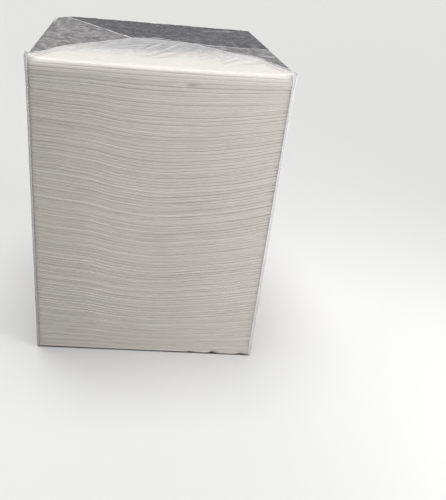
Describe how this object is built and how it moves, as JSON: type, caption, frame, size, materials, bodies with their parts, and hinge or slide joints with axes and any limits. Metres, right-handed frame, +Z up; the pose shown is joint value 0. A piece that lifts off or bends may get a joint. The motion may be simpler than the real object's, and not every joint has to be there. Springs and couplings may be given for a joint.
{
  "type": "stack of paper napkins",
  "caption": "Tall square stack of quarter-folded white paper napkins, sealed in clear film with an envelope fold on top.",
  "frame": {"origin": "middle of the underside of the film, on the surface that the stack stands on", "axes": "+Z up through the layers; +X along the front to the right; the napkins' fold edges face -Y"},
  "size_m": [0.167, 0.1745, 0.2205],
  "materials": {
    "napkin_paper": "soft white tissue paper, matt, faintly embossed",
    "clear_film": "thin clear film, glossy, with folds and creases"
  },
  "bodies": {
    "root": {"film_wrap": "clear_film", "napkin_pair_01": "napkin_paper", "napkin_pair_02": "napkin_paper", "napkin_pair_03": "napkin_paper", "napkin_pair_04": "napkin_paper", "napkin_pair_05": "napkin_paper", "napkin_pair_06": "napkin_paper", "napkin_pair_07": "napkin_paper", "napkin_pair_08": "napkin_paper", "napkin_pair_09": "napkin_paper", "napkin_pair_10": "napkin_paper", "napkin_pair_11": "napkin_paper", "napkin_pair_12": "napkin_paper", "napkin_pair_13": "napkin_paper", "napkin_pair_14": "napkin_paper", "napkin_pair_15": "napkin_paper", "napkin_pair_16": "napkin_paper", "napkin_pair_17": "napkin_paper", "napkin_pair_18": "napkin_paper", "napkin_pair_19": "napkin_paper", "napkin_pair_20": "napkin_paper", "napkin_pair_21": "napkin_paper", "napkin_pair_22": "napkin_paper", "napkin_pair_23": "napkin_paper", "napkin_pair_24": "napkin_paper", "napkin_pair_25": "napkin_paper", "napkin_pair_26": "napkin_paper", "napkin_pair_27": "napkin_paper", "napkin_pair_28": "napkin_paper", "napkin_pair_29": "napkin_paper", "napkin_pair_30": "napkin_paper", "napkin_pair_31": "napkin_paper", "napkin_pair_32": "napkin_paper", "napkin_pair_33": "napkin_paper", "napkin_pair_34": "napkin_paper", "napkin_pair_35": "napkin_paper", "napkin_pair_36": "napkin_paper", "napkin_pair_37": "napkin_paper", "napkin_pair_38": "napkin_paper", "napkin_pair_39": "napkin_paper", "napkin_pair_40": "napkin_paper", "napkin_pair_41": "napkin_paper", "napkin_pair_42": "napkin_paper", "napkin_pair_43": "napkin_paper", "napkin_pair_44": "napkin_paper", "napkin_pair_45": "napkin_paper", "napkin_pair_46": "napkin_paper", "napkin_pair_47": "napkin_paper", "napkin_pair_48": "napkin_paper", "napkin_pair_49": "napkin_paper", "napkin_pair_50": "napkin_paper"}
  },
  "joints": []
}
